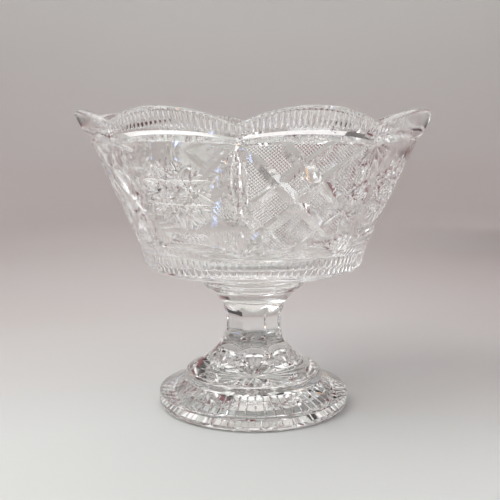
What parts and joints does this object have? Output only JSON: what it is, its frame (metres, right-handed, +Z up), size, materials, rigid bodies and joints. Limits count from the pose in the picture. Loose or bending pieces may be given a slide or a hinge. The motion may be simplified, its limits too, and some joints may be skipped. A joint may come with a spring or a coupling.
{
  "type": "punch bowl",
  "caption": "Scalloped crystal bowl with cut panels, lifting off a separate footed pedestal stand with a faceted stem and a star-cut dome.",
  "frame": {"origin": "centre of the stand's foot, in the plane it rests on", "axes": "+Z up, along the axis of the stem; -Y is the front, where a facet of the stem faces"},
  "size_m": [0.2332, 0.2332, 0.2005],
  "materials": {
    "stand_crystal": "clear polished lead crystal, cut",
    "bowl_crystal": "clear polished lead crystal, cut"
  },
  "bodies": {
    "stand": {"pedestal_stand": "stand_crystal"},
    "bowl": {"bowl": "bowl_crystal"}
  },
  "joints": [
    {"name": "bowl_lift", "type": "slide", "parent": "stand", "child": "bowl", "axis": [0, 0, 1], "range_m": [0, 0.06]}
  ]
}
